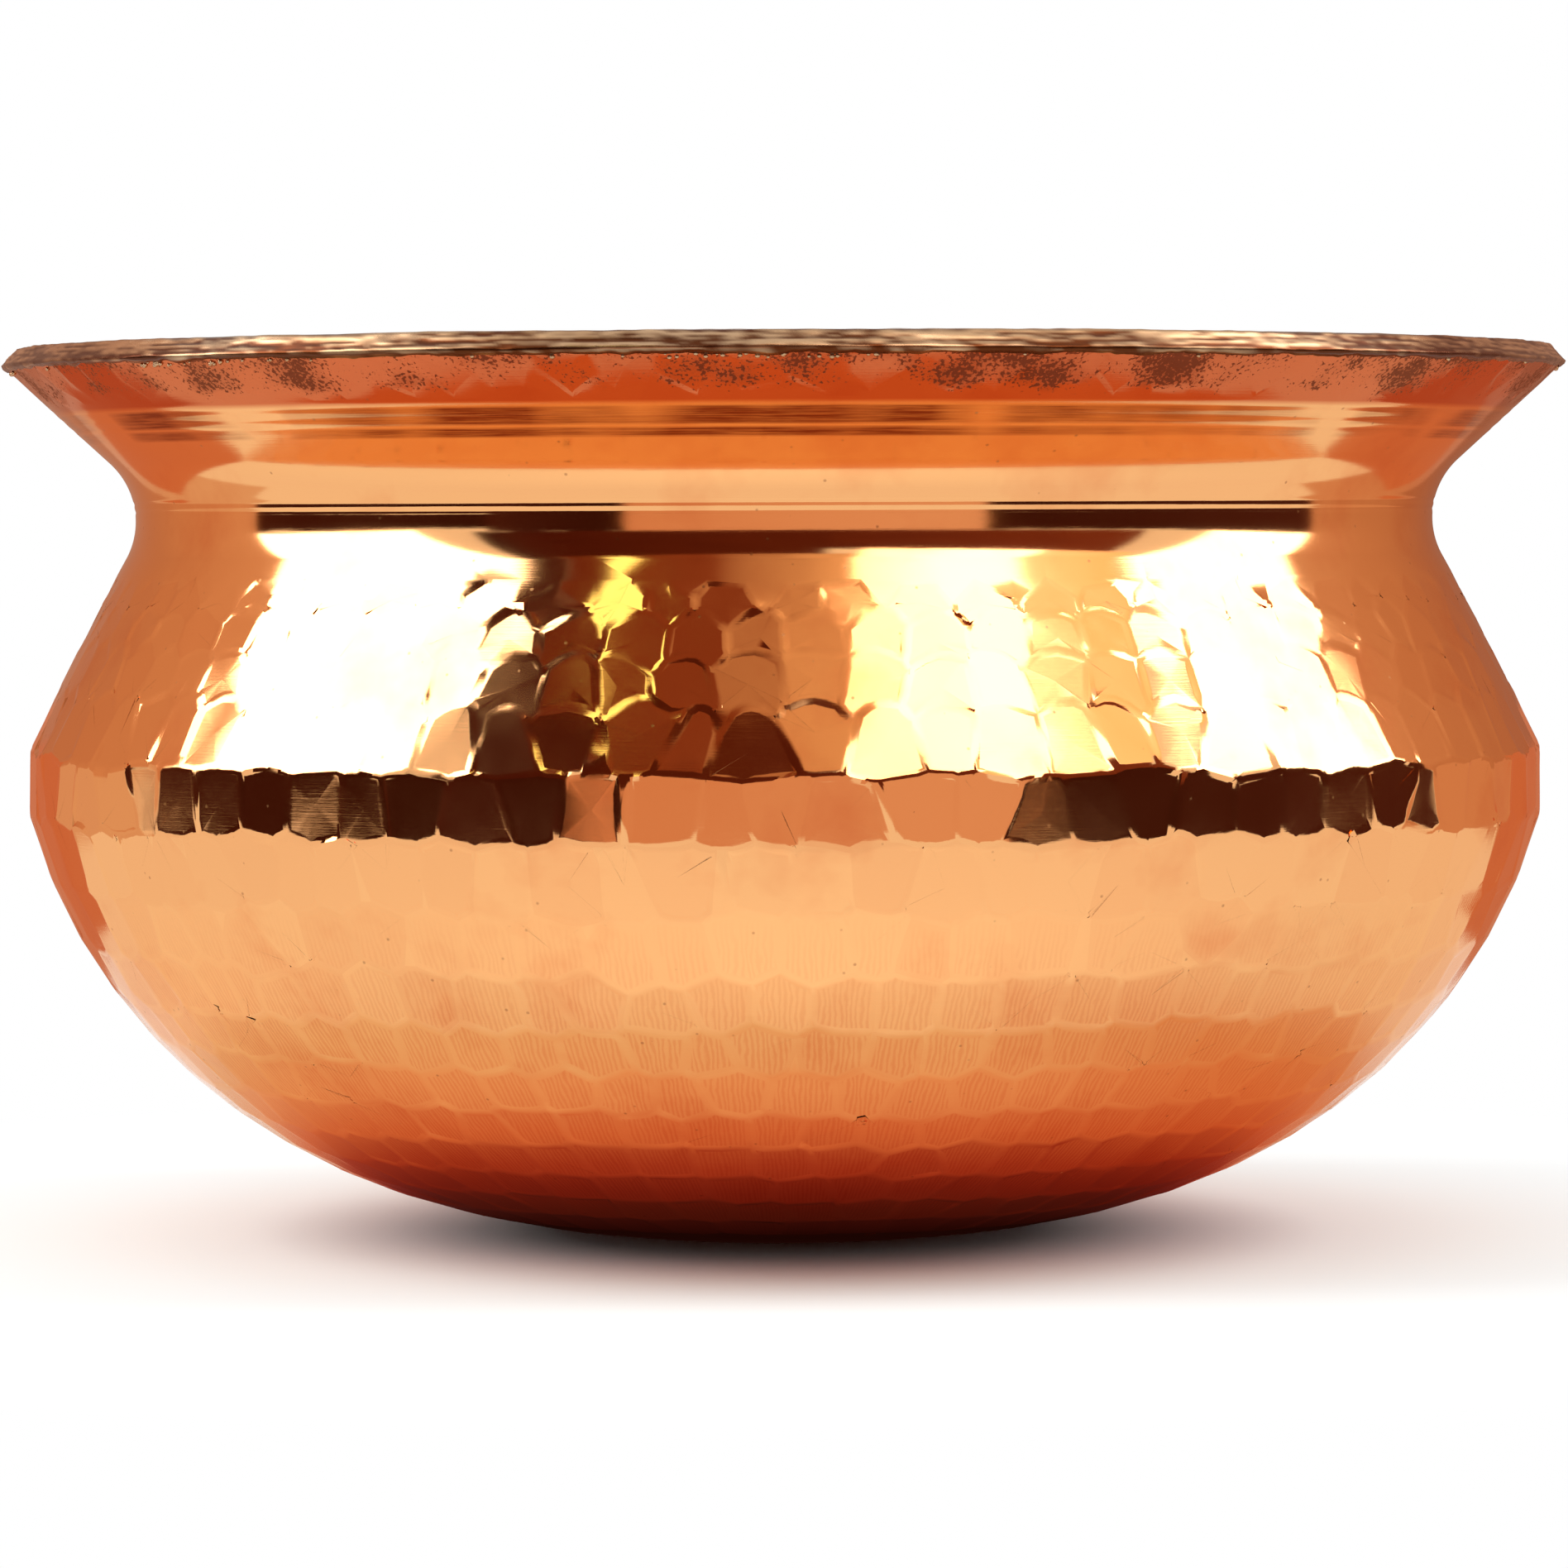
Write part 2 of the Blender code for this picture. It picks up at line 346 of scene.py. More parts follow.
@dataclass(frozen=True)
class PlanishedCopper:
    """Planished, wheel-polished copper: deep orange, mirror-bright marks, a little handled and oxidised, with
    a painted dull red reflection on the row under the lip.
    """

    clean: str = "#F5B376"
    painted_flare_reflection: str = "#C8623A"
    residue: str = "#7C2F18"
    ruddy: str = "#D9703C"
    oxide: str = "#54261A"
    edge_tint: str = "#F8E2D0"
    polish: float = 0.07
    grain: float = 0.05
    oxide_roughness: float = 0.5
    cloud_size: float = 22.22 * MM
    wrinkle_width: float = 0.95 * MM
    wrinkle_length: float = 2.0 * MM
    wrinkle_depth: float = 0.01 * MM
    wrinkle_fade: tuple[float, float] = (30.0 * MM, 10.0 * MM)
    painted_flare_reflection_edge: tuple[float, float] = (7.8 * MM, 7.0 * MM)
    line_height: float = 0.25 * MM
    line_length: float = 14.0 * MM
    line_depth: float = 0.007 * MM
    smear_size: float = 26.32 * MM
    smear_front: tuple[float, float] = (112.0 * MM, 88.0 * MM)
    smear_bands: tuple[tuple[float, float], ...] = ((10.3 * MM, 8.1 * MM), (12.1 * MM, 11.2 * MM))
    smear_edge: float = 0.4 * MM
    patch_length: float = 13.33 * MM
    patch_height: float = 7.69 * MM
    patch_slant: float = math.radians(35.0)
    patch_edge: tuple[float, float] = (8.5 * MM, 4.5 * MM)
    speck_size: float = 0.5882 * MM
    pit_spacing: float = 4.762 * MM

    def smear(
            self, tree: bpy.types.NodeTree, coat: bpy.types.NodeSocket, amount: bpy.types.NodeSocket,
            height: bpy.types.NodeSocket, lip: float) -> bpy.types.NodeSocket:
        """Lay dark polishing residue along the burnished lines under the lip.

        Args:
            tree: The shader's node tree.
            coat: Colour of the copper so far.
            amount: How much residue there is.
            height: Height above the floor.
            lip: Height of the lip's outer edge.

        Returns:
            The copper's colour with the residue.
        """
        for foot, head in self.smear_bands:
            low, high = lip - foot, lip - head
            rise = add_node(
                tree, "MapRange", {0: height, 1: low - self.smear_edge, 2: low, 3: 0.0, 4: 1.0}).outputs[0]
            drop = add_node(
                tree, "MapRange", {0: height, 1: high, 2: high + self.smear_edge, 3: 1.0, 4: 0.0}).outputs[0]
            inside = add_node(tree, "Math", {0: rise, 1: drop}, operation="MULTIPLY").outputs[0]
            share = add_node(tree, "Math", {0: inside, 1: amount}, operation="MULTIPLY").outputs[0]
            coat = add_node(
                tree, "Mix", {0: share, 6: coat, 7: linear(self.residue)}, data_type="RGBA").outputs[2]
        return coat

    def oxidise(
            self, tree: bpy.types.NodeTree, spot: bpy.types.NodeSocket, unrolled: bpy.types.NodeSocket,
            height: bpy.types.NodeSocket, lip: float) -> bpy.types.NodeSocket:
        """Place the brown oxide under the lip and the pits.

        Args:
            tree: The shader's node tree.
            spot: Object coordinates.
            unrolled: The flat map.
            height: Height above the floor.
            lip: Height of the lip's outer edge.

        Returns:
            How far the copper is covered.
        """
        # Slanting patches where the polishing wheel can't reach: a haze full of specks.
        slanted = add_node(
            tree, "Mapping",
            {0: unrolled, 2: (0.0, 0.0, self.patch_slant),
             3: (1.0 / self.patch_length, 1.0 / self.patch_height, 1.0)}).outputs[0]
        patch = add_node(tree, "TexNoise", {"Vector": slanted, "Scale": 1.0, "Detail": 2.0}).outputs[0]
        low, high = (lip - under for under in self.patch_edge)
        near_lip = add_node(
            tree, "MapRange", {0: height, 1: low, 2: high, 3: -0.40, 4: 0.02}).outputs[0]
        spread = add_node(tree, "Math", {0: patch, 1: near_lip}, operation="ADD").outputs[0]
        haze = add_node(tree, "MapRange", {0: spread, 1: 0.48, 2: 0.72, 3: 0.0, 4: 0.45}).outputs[0]
        speck = add_node(
            tree, "TexNoise", {"Vector": spot, "Scale": 1.0 / self.speck_size, "Detail": 2.0}).outputs[0]
        both = add_node(tree, "Math", {0: spread, 1: speck}, operation="ADD").outputs[0]
        specked = add_node(tree, "MapRange", {0: both, 1: 1.06, 2: 1.14, 3: 0.0, 4: 0.8}).outputs[0]
        dirty = add_node(tree, "Math", {0: haze, 1: specked}, operation="MAXIMUM").outputs[0]
        # Small dark pits all over, one or two to a hammer mark.
        pits = add_node(
            tree, "TexVoronoi",
            {"Vector": spot, "Scale": 1.0 / self.pit_spacing, "Randomness": 1.0}).outputs[0]
        pitted = add_node(tree, "MapRange", {0: pits, 1: 0.03, 2: 0.07, 3: 0.4, 4: 0.0}).outputs[0]
        return add_node(tree, "Math", {0: dirty, 1: pitted}, operation="MAXIMUM").outputs[0]

    def material(self, outline: PotOutline) -> bpy.types.Material:
        """Build the shader.

        Args:
            outline: Sizes that place the polish, the wrinkles and the oxide.

        Returns:
            The material.
        """
        # The polish gives every flat the sharp reflections of a mirror, in the metal's own orange.
        material = new_material("planished_polished_copper")
        tree = material.node_tree
        spot = add_node(tree, "TexCoord", {}).outputs["Object"]
        unrolled = add_node(tree, "UVMap", {}, uv_map="unrolled").outputs["UV"]
        height = add_node(tree, "SeparateXYZ", {0: spot}).outputs["Z"]
        lip = outline.lip_edge().y
        # Ruddy clouds a few centimetres across, as heat and fingers leave them on bare copper.
        cloud = add_node(
            tree, "TexNoise",
            {"Vector": spot, "Scale": 1.0 / self.cloud_size, "Detail": 4.0, "Roughness": 0.6}).outputs[0]
        cloudy = add_node(tree, "MapRange", {0: cloud, 1: 0.52, 2: 0.75, 3: 0.0, 4: 0.35}).outputs[0]
        # Each mark took the polish a little differently, so its tone differs from its neighbours'.
        tone = add_node(
            tree, "Attribute", {}, attribute_name="tone", attribute_type="GEOMETRY").outputs["Fac"]
        toned = add_node(tree, "Math", {0: tone, 1: 0.12, 2: cloudy}, operation="MULTIPLY_ADD").outputs[0]
        # Fine upright wrinkles in the bowl's marks, drawn darker and redder along their length, which give
        # them a silky grain.
        # At this scale the wave repeats once for each wrinkle's width.
        shifted = add_node(tree, "VectorMath", {0: unrolled, 1: tone}, operation="ADD").outputs[0]
        wrinkled = add_node(
            tree, "Mapping",
            {0: shifted, 3: (1.0 / self.wrinkle_width, 1.0 / self.wrinkle_length, 1.0)}).outputs[0]
        wrinkle = add_node(
            tree, "TexWave",
            {"Vector": wrinkled, "Scale": math.pi / 10.0, "Distortion": 7.0, "Detail": 3.0,
             "Detail Scale": 1.3}).outputs[1]
        start, end = (outline.band_bottom - under for under in self.wrinkle_fade)
        fall = add_node(tree, "MapRange", {0: height, 1: start, 2: end, 3: 1.0, 4: 0.0}).outputs[0]
        inner = add_node(
            tree, "Attribute", {}, attribute_name="inner", attribute_type="GEOMETRY").outputs["Fac"]
        low = add_node(tree, "Math", {0: fall, 1: inner}, operation="MULTIPLY").outputs[0]
        creased = add_node(tree, "MapRange", {0: wrinkle, 1: 0.2, 2: 0.9, 3: 0.0, 4: 0.26}).outputs[0]
        ruddy_share = add_node(
            tree, "Math", {0: creased, 1: low, 2: toned}, operation="MULTIPLY_ADD").outputs[0]
        warm = add_node(
            tree, "Mix", {0: ruddy_share, 6: linear(self.clean), 7: linear(self.ruddy)},
            data_type="RGBA").outputs[2]
        # Painted reflection: dull red on the hammered row under the lip, standing in for the orange shoulder
        # reflected in it, which stops short at the burnished lines.
        start, end = (lip - under for under in self.painted_flare_reflection_edge)
        painted_reflection_share = add_node(tree, "MapRange", {0: height, 1: start, 2: end, 3: 0.0, 4: 0.95}).outputs[0]
        warm = add_node(
            tree, "Mix", {0: painted_reflection_share, 6: warm, 7: linear(self.painted_flare_reflection)}, data_type="RGBA").outputs[2]
        # Level polishing lines, along which the residue is wiped out in streaks.
        lined = add_node(
            tree, "Mapping",
            {0: unrolled, 3: (1.0 / self.line_length, 1.0 / self.line_height, 1.0)}).outputs[0]
        line = add_node(
            tree, "TexNoise", {"Vector": lined, "Scale": 1.0, "Detail": 4.0, "Roughness": 0.65}).outputs[0]
        wiped = add_node(tree, "MapRange", {0: line, 1: 0.38, 2: 0.58, 3: 0.6, 4: 1.0}).outputs[0]
        # The residue lies in patches, more of them at the front.
        blot = add_node(
            tree, "TexNoise", {"Vector": spot, "Scale": 1.0 / self.smear_size, "Detail": 2.0}).outputs[0]
        sideways = add_node(tree, "SeparateXYZ", {0: spot}).outputs["Y"]
        start, end = (-reach for reach in self.smear_front)
        front = add_node(tree, "MapRange", {0: sideways, 1: start, 2: end, 3: 0.11, 4: -0.05}).outputs[0]
        gathered = add_node(tree, "Math", {0: blot, 1: front}, operation="ADD").outputs[0]
        smeared = add_node(tree, "MapRange", {0: gathered, 1: 0.42, 2: 0.62, 3: 0.0, 4: 0.95}).outputs[0]
        streaked = add_node(tree, "Math", {0: smeared, 1: wiped}, operation="MULTIPLY").outputs[0]
        warm = self.smear(tree, warm, streaked, height, lip)
        marred = self.oxidise(tree, spot, unrolled, height, lip)
        colour = add_node(
            tree, "Mix", {0: marred, 6: warm, 7: linear(self.oxide)}, data_type="RGBA").outputs[2]
        first = add_node(
            tree, "Bump", {"Strength": low, "Distance": self.wrinkle_depth, "Height": wrinkle}).outputs[0]
        # The polishing lines give the edges of the reflections their ragged look.
        second = add_node(
            tree, "Bump",
            {"Strength": 0.6, "Distance": self.line_depth, "Height": line, "Normal": first}).outputs[0]
        rough = add_node(
            tree, "MapRange",
            {0: cloud, 1: 0.35, 2: 0.7, 3: self.polish, 4: self.polish + self.grain}).outputs[0]
        roughness = add_node(tree, "Mix", {0: marred, 2: rough, 3: self.oxide_roughness}).outputs[0]
        shader = add_node(
            tree, "BsdfPrincipled",
            {"Base Color": colour, "Metallic": 1.0, "Roughness": roughness, "Normal": second,
             "Specular Tint": linear(self.edge_tint)})
        add_node(tree, "OutputMaterial", {0: shader.outputs[0]})
        return material


@dataclass(frozen=True)
class WipedTin:
    """Hot-wiped tin: a satin silver coat with streaks along the wipe and brown flux left in the hollows, with
    painted shade towards the lip's lower edge and a painted brown reflection along the lip.
    """

    bright: str = "#D2C6B2"
    dull: str = "#9A8B78"
    flux: str = "#5A2E16"
    painted_lip_reflection: str = "#BE9062"
    satin: float = 0.20
    uneven: float = 0.16
    streak_width: float = 0.8 * MM
    streak_length: float = 25.0 * MM
    streak_depth: float = 0.03 * MM
    cloud_size: float = 16.67 * MM
    painted_lip_reflection_edge: tuple[float, float] = (6.0 * MM, 2.0 * MM)

    def material(self, outline: PotOutline) -> bpy.types.Material:
        """Build the shader.

        Args:
            outline: Sizes that place the painted brown reflection along the lip.

        Returns:
            The material.
        """
        # The wiping cloth leaves a soft, uneven shine in which nothing is reflected sharply.
        material = new_material("hot_wiped_tin")
        tree = material.node_tree
        spot = add_node(tree, "TexCoord", {}).outputs["Object"]
        unrolled = add_node(tree, "UVMap", {}, uv_map="unrolled").outputs["UV"]
        # Streaks that follow the wiping cloth round the pot.
        wiped = add_node(
            tree, "Mapping",
            {0: unrolled, 3: (1.0 / self.streak_length, 1.0 / self.streak_width, 1.0)}).outputs[0]
        streak = add_node(
            tree, "TexNoise", {"Vector": wiped, "Scale": 1.0, "Detail": 4.0, "Roughness": 0.6}).outputs[0]
        cloud = add_node(
            tree, "TexNoise", {"Vector": spot, "Scale": 1.0 / self.cloud_size, "Detail": 3.0}).outputs[0]
        mixed = add_node(tree, "Math", {0: streak, 1: cloud}, operation="ADD").outputs[0]
        share = add_node(tree, "MapRange", {0: mixed, 1: 0.8, 2: 1.25, 3: 0.0, 4: 1.0}).outputs[0]
        coat = add_node(
            tree, "Mix", {0: share, 6: linear(self.bright), 7: linear(self.dull)},
            data_type="RGBA").outputs[2]
        # Painted reflection: the coat is browned along the lip, standing in for the brown ceiling reflected
        # in it.
        height = add_node(tree, "SeparateXYZ", {0: spot}).outputs["Z"]
        start, end = (outline.lip_edge().y - under for under in self.painted_lip_reflection_edge)
        lip_reflection_share = add_node(tree, "MapRange", {0: height, 1: start, 2: end, 3: 0.0, 4: 0.75}).outputs[0]
        coat = add_node(
            tree, "Mix", {0: lip_reflection_share, 6: coat, 7: linear(self.painted_lip_reflection)}, data_type="RGBA").outputs[2]
        # Burnt flux and grime stay in the hollows of the lumpy lip, and painted shade darkens the lip towards
        # its lower edge.
        flux_and_painted_shade = add_node(
            tree, "Attribute", {}, attribute_name="flux_and_painted_shade", attribute_type="GEOMETRY").outputs["Fac"]
        colour = add_node(
            tree, "Mix", {0: flux_and_painted_shade, 6: coat, 7: linear(self.flux)}, data_type="RGBA").outputs[2]
        rough = add_node(
            tree, "MapRange",
            {0: mixed, 1: 0.7, 2: 1.3, 3: self.satin, 4: self.satin + self.uneven}).outputs[0]
        bump = add_node(
            tree, "Bump", {"Strength": 0.5, "Distance": self.streak_depth, "Height": streak}).outputs[0]
        shader = add_node(
            tree, "BsdfPrincipled",
            {"Base Color": colour, "Metallic": 1.0, "Roughness": rough, "Normal": bump})
        add_node(tree, "OutputMaterial", {0: shader.outputs[0]})
        return material


@dataclass
class CopperShell:
    """The planished copper wall: a turned sheet with rows of flat hammer marks all over its outside."""

    outline: PotOutline
    finish: PlanishedCopper = field(default_factory=PlanishedCopper)
    columns: int = 120
    mark_width: float = 0.0095
    bowl_shares: tuple[float, ...] = (
        0.0, 0.084, 0.168, 0.252, 0.337, 0.414, 0.487, 0.558, 0.624, 0.694, 0.761, 0.836, 0.914, 1.0)
    shoulder_shares: tuple[float, ...] = (0.0, 0.30, 0.535, 0.725, 0.905)
    flare_mark: float = 0.0100
    overlap: float = 1.8
    deepest: float = 0.00020
    scatter: float = 0.0008
    tilt: float = math.radians(0.55)
    uneven_blow: float = 0.00003
    calm_slope: float = 0.12
    calm_rise: float = 1.6
    seed: int = 23
    swelling: float = 0.0025
    shortest_edge: float = 0.0003
    bowl_bulge: float = 0.0005
    shoulder_bulge: float = 0.0012
    rock: float = math.radians(0.9)
    flare_rock: float = 0.8
    bowl_rock: float = 0.5
    bowl_rock_step: float = 0.1
    crease_cuts: int = 3
    soft_edge: float = 0.0007
    crown: float = 0.000020
    neck_steps: int = 54
    neck_lines: tuple[float, ...] = (0.1180, 0.1193)
    neck_line_width: float = 0.00035
    neck_line_depth: float = 0.00012
    flare_steps: int = 26
    burnish_height: float = 0.0066
    burnish_waves: float = 3.0
    burnish_depth: float = 0.00003
    sharp_crease: float = math.radians(35.0)
    node: str = "copper_shell"

    @property
    def bowl_rows(self) -> int:
        """Give how many hammered rows the bowl has."""
        return len(self.bowl_shares) - 1

    def swell(self, spot: Vector) -> Vector:
        """Give how far the shoulder is swollen while it is struck.

        A straight shoulder would let the flats of one row run on over the next. Swollen, it keeps the rows
        apart, and the swelling is taken off again afterwards.

        Args:
            spot: Radius and height of a point on the shoulder.

        Returns:
            The way outward that the point is moved, as a radius and a height.
        """
        low = Vector((self.outline.belly_radius, self.outline.band_top))
        chord = self.outline.neck_point(-self.outline.shoulder_lean()) - low
        share = (spot - low).dot(chord) / chord.length_squared
        if not 0.0 < share < 1.0:
            return Vector((0.0, 0.0))
        return Vector((chord.y, -chord.x)).normalized() * self.swelling * 4.0 * share * (1.0 - share)

    def rows(self) -> list[Vector]:
        """Give the edges of the hammered rows.

        Returns:
            Points from the flat patch to the top of the shoulder's marks.
        """
        bowl = walk(self.outline.bowl(), list(self.bowl_shares))
        shoulder = walk(self.outline.shoulder(), list(self.shoulder_shares))
        return bowl + [point + self.swell(point) for point in shoulder]

    def smooth_top(self) -> list[Vector]:
        """Give the neck and the flare with their burnished lines, above the hammered rows.

        Returns:
            Points from the shoulder up to the row of marks under the lip.
        """
        neck = self.outline.neck(self.neck_steps)
        centre = self.outline.neck_centre()
        lined = []
        for point in neck:
            out = (centre - point).normalized()
            depth = sum(
                math.exp(-((point.y - height) / self.neck_line_width) ** 2) for height in self.neck_lines)
            lined.append(point - out * self.neck_line_depth * depth)
        low, high = neck[-1], self.outline.lip_edge()
        length = (high - low).length - self.flare_mark
        flare = []
        for step in range(1, self.flare_steps + 1):
            along = length * step / self.flare_steps
            point = low + self.outline.flare_way() * along
            share = (along - (length - self.burnish_height)) / self.burnish_height
            wave = math.sin(math.tau * self.burnish_waves * (1.0 - share)) if 0.0 < share < 1.0 else 0.0
            flare.append(point + self.outline.flare_in() * self.burnish_depth * wave)
        return lined + flare

    def profile(self) -> list[Vector]:
        """Give the closed profile of the wall.

        Returns:
            Points from the axis underneath round to the axis inside.
        """
        lip = self.outline.lip_edge()
        end = lip + self.outline.flare_in() * self.outline.lip_thickness
        inside = self.outline.inside(self.outline.sheet)
        line = [Vector((0.0, 0.0))] + self.rows() + self.smooth_top() + [lip, end] + inside
        return line + [Vector((0.0, self.outline.sheet))]

    def strike(
            self, wall: bmesh.types.BMesh, reach: list[bmesh.types.BMVert], spot: Vector, out: Vector,
            mark: int) -> None:
        """Flatten the wall to a plane, as one blow of a planishing hammer does.

        Args:
            wall: The wall.
            reach: Vertices that the row's blows can reach, to which the new ones are added.
            spot: A point on the plane.
            out: The plane's outward direction.
            mark: Number that the new flat carries.
        """
        marks = wall.faces.layers.int["mark"]
        level = spot.dot(out) + ON_PLANE
        proud = [vert for vert in reach if vert.is_valid and vert.co.dot(out) > level]
        faces = list({face for vert in proud for face in vert.link_faces})
        if not faces:
            return
        near = list({item for face in faces for item in (face, *face.edges)})
        corners = list({vert for face in faces for vert in face.verts})
        cut = bmesh.ops.bisect_plane(
            wall, geom=near + corners, dist=ON_PLANE, plane_co=spot, plane_no=out, clear_outer=True,
            clear_inner=False)["geom_cut"]
        fresh = [item for item in cut if isinstance(item, bmesh.types.BMVert)]
        corners = [vert for vert in corners + fresh if vert.is_valid]
        rim = list({edge for vert in corners for edge in vert.link_edges if edge.is_boundary})
        for face in bmesh.ops.holes_fill(wall, edges=rim, sides=0)["faces"]:
            face[marks] = mark
        reach.extend(fresh)

    def strike_row(
            self, wall: bmesh.types.BMesh, ends: tuple[Vector, Vector], depths: tuple[float, float],
            rings: tuple[int, int], kind: Row, number: int, rng: random.Random) -> None:
        """Strike one row of marks right round the wall.

        Args:
            wall: The wall.
            ends: Lower and upper edge of the row.
            depths: How far under the sheet's outside the flats lie at those edges.
            rings: First and last ring that the blows can reach.
            kind: Which part of the pot the row is on.
            number: The row's number, which also puts odd rows half a mark out of step.
            rng: Source of the hand's scatter.
        """
        low, high = ends
        slope = (high - low).normalized()
        out = Vector((slope.y, -slope.x))
        middle = (low - out * depths[0]).lerp(high - out * depths[1], 0.5)
        slope = ((high - out * depths[1]) - (low - out * depths[0])).normalized()
        radius = max(low.x, high.x)
        count = round(math.tau * radius / self.mark_width)
        layer = wall.verts.layers.int["ring"]
        reach = [vert for vert in wall.verts if rings[0] <= vert[layer] <= rings[1]]
        for index in range(count):
            stray = rng.uniform(-1.0, 1.0) * self.scatter / radius
            angle = math.tau * (index + 0.5 * (number % 2)) / count + stray
            swing, nod = rng.gauss(0.0, self.tilt), rng.gauss(0.0, self.tilt)
            press = rng.uniform(-1.0, 1.0) * self.uneven_blow
            if kind is Row.FLARE:
                swing = 0.0
            if kind is Row.FLARE or number == self.bowl_rows + len(self.shoulder_shares) - 1:
                nod, press = 0.0, 0.0
            # Towards the level floor the blows fall more evenly, so that no mark swallows its neighbours.
            if number < self.bowl_rows:
                calm = min(1.0, self.calm_rise * max(0.0, slope.y - self.calm_slope))
                nod, press = calm * nod, calm * press
            lean = math.atan2(slope.x, slope.y) + nod
            flat = Vector((math.cos(lean), -math.sin(lean)))
            across = Vector((math.cos(angle), math.sin(angle), 0.0))
            spot = across * (middle.x - flat.x * press) + Vector((0.0, 0.0, middle.y))
            turned = Vector((math.cos(angle + swing), math.sin(angle + swing), 0.0))
            plane = (turned * flat.x + Vector((0.0, 0.0, flat.y))).normalized()
            self.strike(wall, reach, spot, plane, ROW_STEP * (number + 1) + index)

    def planish(self, wall: bmesh.types.BMesh) -> None:
        """Strike every row, from the flat patch up to the shoulder, then the row under the lip.

        Args:
            wall: The turned wall.
        """
        rng = random.Random(self.seed)
        edges = self.rows()
        top = len(edges)
        for number in range(top - 1):
            low, high = edges[number], edges[number + 1]
            kind = Row.BOWL if number <= self.bowl_rows else Row.SHOULDER
            steep = (high - low).normalized().y if number < self.bowl_rows else 1.0
            sag = min(steep * self.mark_width ** 2 / (8.0 * max(low.x, high.x)) * self.overlap, self.deepest)
            over = sag if number < top - 2 else 0.0
            under = sag if number > 0 else 0.0
            rings = (max(number - 2, 0), min(number + 4, top))
            self.strike_row(wall, (low, high), (under, over), rings, kind, number, rng)
        smooth = self.smooth_top()
        lip = self.outline.lip_edge()
        sag = self.mark_width ** 2 / (8.0 * lip.x) * self.overlap
        first = top + len(smooth)
        self.strike_row(wall, (smooth[-1], lip), (0.0, sag), (first, first + 2), Row.FLARE, top, rng)
        layer = wall.verts.layers.int["ring"]
        for vert in wall.verts:
            if self.bowl_rows + 1 < vert[layer] <= top:
                out = Vector((vert.co.x, vert.co.y, 0.0))
                back = self.swell(Vector((out.length, vert.co.z)))
                vert.co -= out.normalized() * back.x + Vector((0.0, 0.0, back.y))

    def scallop(self, wall: bmesh.types.BMesh) -> None:
        """Bow the edges between the rows: the shoulder's marks arch upward and the bowl's hang downward.

        Args:
            wall: The struck wall, with its creases cut into short lengths.
        """
        marks = wall.faces.layers.int["mark"]
        by_size = sorted(wall.faces, key=lambda face: face.calc_area())
        centres = {face[marks]: face.calc_center_median() for face in by_size}
        shifts = []
        for vert in wall.verts:
            numbers = {face[marks] for face in vert.link_faces}
            rows = sorted({number // ROW_STEP for number in numbers})
            if len(rows) != 2 or rows[0] in (0, self.bowl_rows + 1):
                continue
            kind = Row.BOWL if rows[0] <= self.bowl_rows else Row.SHOULDER
            owner = rows[1] if kind is Row.BOWL else rows[0]
            around = Vector((-vert.co.y, vert.co.x, 0.0)).normalized()
            owned = [number for number in numbers if number // ROW_STEP == owner]
            aside = min(abs((vert.co - centres[number]).dot(around)) for number in owned)
            share = min(1.0, aside / (0.5 * self.mark_width))
            out = sum((face.normal for face in vert.link_faces), Vector()).normalized()
            up = out.cross(around)
            bulge = self.bowl_bulge if kind is Row.BOWL else self.shoulder_bulge
            way = math.copysign(1.0, up.z) * kind.value
            shifts.append((vert, up * (way * bulge * (1.0 - 2.0 * share ** 2))))
        for vert, shift in shifts:
            vert.co += shift

    def round_marks(self, wall: bmesh.types.BMesh) -> None:
        """Round the outlines of the marks, soften the creases between them and crown each mark slightly.

        Args:
            wall: The struck wall.
        """
        marks = wall.faces.layers.int["mark"]
        struck = {vert for face in wall.faces if face[marks] for vert in face.verts}
        bmesh.ops.remove_doubles(wall, verts=list(struck), dist=self.shortest_edge)
        creases = [edge for edge in wall.edges if len({face[marks] for face in edge.link_faces}) == 2]
        bmesh.ops.bisect_edges(wall, edges=creases, cuts=self.crease_cuts)
        self.scallop(wall)
        edged = [vert for vert in wall.verts if all(face[marks] for face in vert.link_faces)]
        bmesh.ops.smooth_vert(
            wall, verts=edged, factor=0.5, use_axis_x=True, use_axis_y=True, use_axis_z=True)
        flats = [face for face in wall.faces if face[marks]]
        bmesh.ops.inset_individual(
            wall, faces=flats, thickness=self.soft_edge, depth=0.0, use_even_offset=False)
        wall.normal_update()
        top = self.bowl_rows + len(self.shoulder_shares)
        for face in flats:
            hand = random.Random(face[marks])
            row = face[marks] // ROW_STEP
            if row > top:
                share = self.flare_rock
            elif row > self.bowl_rows:
                share = 1.0
            else:
                share = min(self.bowl_rock, self.bowl_rock_step * row)
            rock = self.rock * share
            middle = face.calc_center_median()
            out = (face.normal + Vector([hand.gauss(0.0, rock) for _ in range(3)])).normalized()
            for vert in face.verts:
                vert.co -= out * (vert.co - middle).dot(out)
        bmesh.ops.inset_individual(
            wall, faces=flats, thickness=0.5 * self.soft_edge, depth=0.0, use_even_offset=False)
        inner = wall.verts.layers.float.new("inner")
        for vert in {vert for face in flats for vert in face.verts}:
            vert[inner] = 1.0
        poked = bmesh.ops.poke(wall, faces=flats, offset=self.crown, center_mode="MEAN_WEIGHTED")
        for vert in poked["verts"]:
            vert[inner] = 1.0

